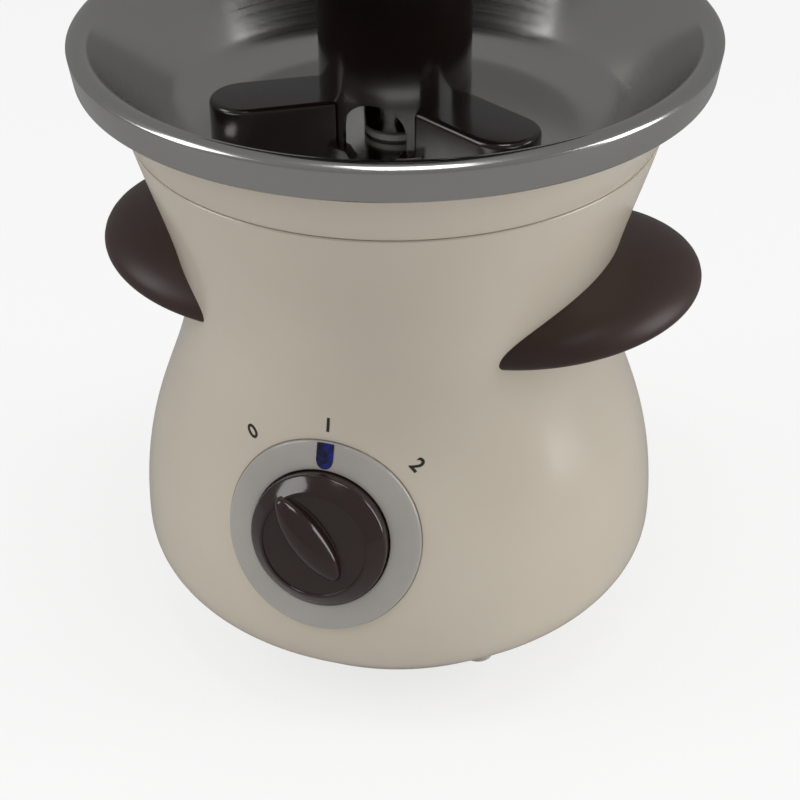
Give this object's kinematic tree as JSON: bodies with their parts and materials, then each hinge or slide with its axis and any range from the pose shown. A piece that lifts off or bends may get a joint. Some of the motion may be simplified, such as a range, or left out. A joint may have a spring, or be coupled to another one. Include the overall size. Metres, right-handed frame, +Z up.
{
  "type": "chocolate fountain",
  "caption": "Table-top chocolate fountain: hourglass housing with selector knob and wing handles, heated steel bowl, screw-lift tower with umbrella tiers.",
  "frame": {"origin": "on the table, under the middle of the housing, at the feet's bottom", "axes": "+Z up, along the tower; -Y towards the knob; +X to the right side handle seen from the front"},
  "size_m": [0.2194, 0.217, 0.4],
  "materials": {
    "cream_plastic": "smooth glossy moulded plastic",
    "stainless": "spun stainless steel",
    "brown_plastic": "dark brown glossy plastic",
    "auger_plastic": "dark brown glossy plastic",
    "silver_plastic": "silver-grey lacquered plastic",
    "blue_lens": "deep blue translucent plastic",
    "pale_rubber": "pale soft rubber",
    "grey_rubber": "grey silicone rubber",
    "zinc_steel": "zinc plated steel",
    "bright_steel": "ground steel",
    "cast_aluminium": "cast aluminium",
    "element_sheath": "heat-tinted steel sheath",
    "brass": "plain brass",
    "white_plastic": "white glass-filled plastic",
    "cream_matt": "cream matt plastic",
    "black_plastic": "black plastic",
    "motor_can": "plated steel can",
    "lamp_glass": "clear lamp glass"
  },
  "bodies": {
    "base": {"main_housing": "cream_plastic", "bowl_collar": "cream_plastic", "bowl": "stainless", "right_handle": "brown_plastic", "left_handle": "brown_plastic", "handle_screws": "zinc_steel", "dial_bezel": "silver_plastic", "pilot_lens": "blue_lens", "pilot_lamp": "lamp_glass", "switch_body": "white_plastic", "switch_nut": "zinc_steel", "base_plate": "cream_matt", "base_screws": "zinc_steel", "rubber_feet": "pale_rubber", "cord_gland": "black_plastic", "chassis_plate": "zinc_steel", "chassis_screws": "zinc_steel", "heat_shield": "zinc_steel", "heater_spacers": "zinc_steel", "heater_screws": "zinc_steel", "heater_plate": "cast_aluminium", "heating_element": "element_sheath", "thermostat": "element_sheath", "thermal_fuse": "lamp_glass", "fuse_clip": "zinc_steel", "shaft_bush": "white_plastic", "bush_gasket": "grey_rubber", "bush_nut": "brass", "shaft_seal": "grey_rubber", "motor": "motor_can", "motor_screws": "zinc_steel", "gearbox_case": "black_plastic", "gearbox_cover": "black_plastic", "gearbox_screws": "zinc_steel", "idler_pin": "bright_steel", "terminal_block": "white_plastic"},
    "knob": {"knob": "brown_plastic", "switch_spindle": "bright_steel"},
    "drive": {"drive_gear": "white_plastic", "drive_shaft": "bright_steel", "drive_coupling": "white_plastic"},
    "idler": {"idler_gear": "white_plastic"},
    "rotor": {"motor_shaft": "bright_steel", "motor_pinion": "motor_can"},
    "auger": {"auger": "auger_plastic"},
    "tower": {"tower_base": "brown_plastic"},
    "lower_tier": {"lower_tier": "brown_plastic"},
    "middle_tier": {"middle_tier": "brown_plastic"},
    "crown_tier": {"crown_tier": "brown_plastic"}
  },
  "joints": [
    {"name": "knob_turn", "type": "hinge", "parent": "base", "child": "knob", "pos_m": [0, -0.09102, 0.0846], "axis": [0, 0.977, -0.213], "range_deg": [0, 90]},
    {"name": "drive_spin", "type": "hinge", "parent": "base", "child": "drive", "pos_m": [0, 0, 0.16], "axis": [0, 0, 1], "continuous": true},
    {"name": "idler_spin", "type": "hinge", "parent": "base", "child": "idler", "pos_m": [0.02078, 0.012, 0.155], "axis": [0, 0, 1], "continuous": true},
    {"name": "rotor_spin", "type": "hinge", "parent": "base", "child": "rotor", "pos_m": [0, 0.024, 0.14], "axis": [0, 0, 1], "continuous": true},
    {"name": "auger_lift", "type": "slide", "parent": "drive", "child": "auger", "axis": [0, 0, 1], "range_m": [0, 0.21]},
    {"name": "tower_lift", "type": "slide", "parent": "base", "child": "tower", "axis": [0, 0, 1], "range_m": [0, 0.21]},
    {"name": "lower_tier_lift", "type": "slide", "parent": "tower", "child": "lower_tier", "axis": [0, 0, 1], "range_m": [0, 0.14]},
    {"name": "middle_tier_lift", "type": "slide", "parent": "lower_tier", "child": "middle_tier", "axis": [0, 0, 1], "range_m": [0, 0.09]},
    {"name": "crown_tier_lift", "type": "slide", "parent": "middle_tier", "child": "crown_tier", "axis": [0, 0, 1], "range_m": [0, 0.05]}
  ],
  "couplings": [
    {"joint": "idler_spin", "follows": "drive_spin", "ratio": -3},
    {"joint": "rotor_spin", "follows": "drive_spin", "ratio": 9}
  ]
}
